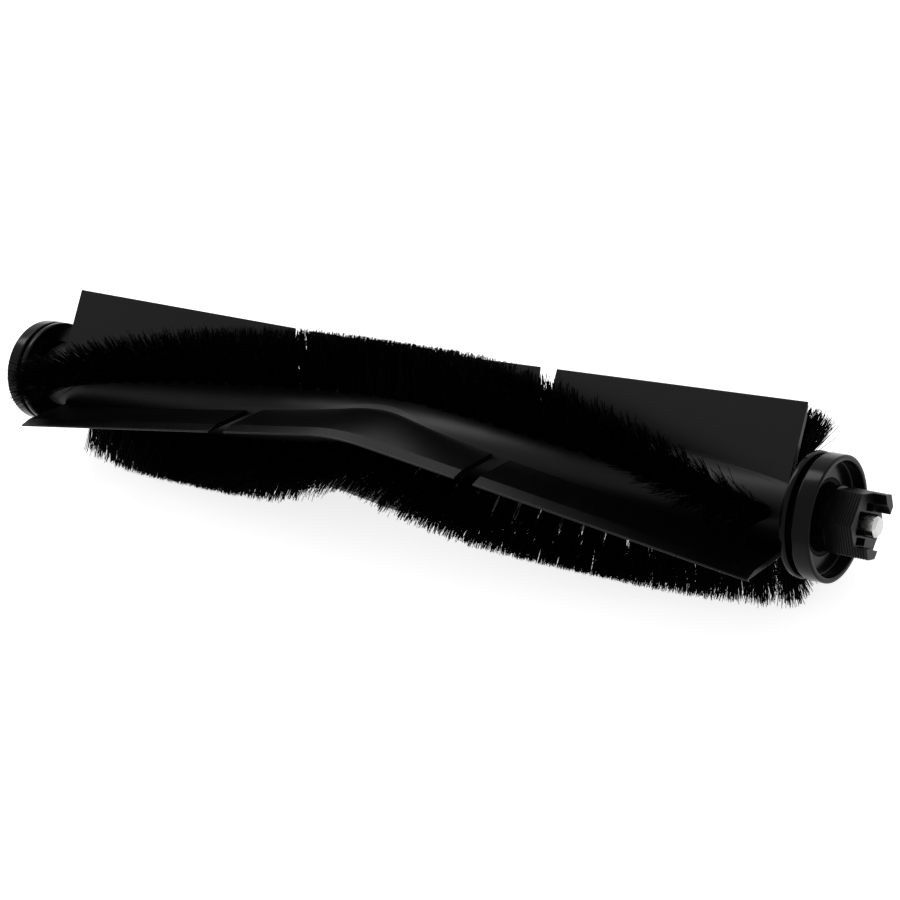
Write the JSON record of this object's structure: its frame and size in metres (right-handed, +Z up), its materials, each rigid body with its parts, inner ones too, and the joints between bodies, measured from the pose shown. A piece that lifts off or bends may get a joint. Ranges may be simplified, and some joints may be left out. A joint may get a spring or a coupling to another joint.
{
  "type": "robot vacuum roller brush",
  "caption": "Roller brush for a robot vacuum: V-laid rubber blades and bristle rows on a slender core, square drive peg at one end, turning hexagonal bearing block at the other.",
  "frame": {"origin": "centre of the brush's box, on the floor that its lowest blade lies on", "axes": "+X along the axis from the drive peg to the bearing block, +Z up, away from the blade that points down"},
  "size_m": [0.1888, 0.0336, 0.0328],
  "materials": {
    "core_plastic": "black moulded plastic with a soft sheen",
    "cap_plastic": "glossy black moulded plastic",
    "block_plastic": "satin black moulded plastic",
    "blade_rubber": "smooth black rubber",
    "bristle_nylon": "black nylon filament",
    "axle_steel": "ground steel",
    "washer_steel": "stamped steel",
    "bush_bronze": "sintered bronze",
    "seal_felt": "pressed black felt"
  },
  "bodies": {
    "roller": {"roller_core": "core_plastic", "drive_end_cap": "cap_plastic", "bearing_end_cap": "cap_plastic", "seal_ring": "seal_felt", "stub_axle": "axle_steel", "thrust_washer": "washer_steel", "blade_1": "blade_rubber", "blade_2": "blade_rubber", "blade_3": "blade_rubber", "bristle_row_1": "bristle_nylon", "bristle_row_2": "bristle_nylon", "bristle_row_3": "bristle_nylon"},
    "bearing": {"bearing_block": "block_plastic", "bearing_bush": "bush_bronze"}
  },
  "joints": [
    {"name": "bearing_block_spin", "type": "hinge", "parent": "roller", "child": "bearing", "pos_m": [0.0876, 0, 0.0164], "axis": [1, 0, 0], "continuous": true}
  ]
}
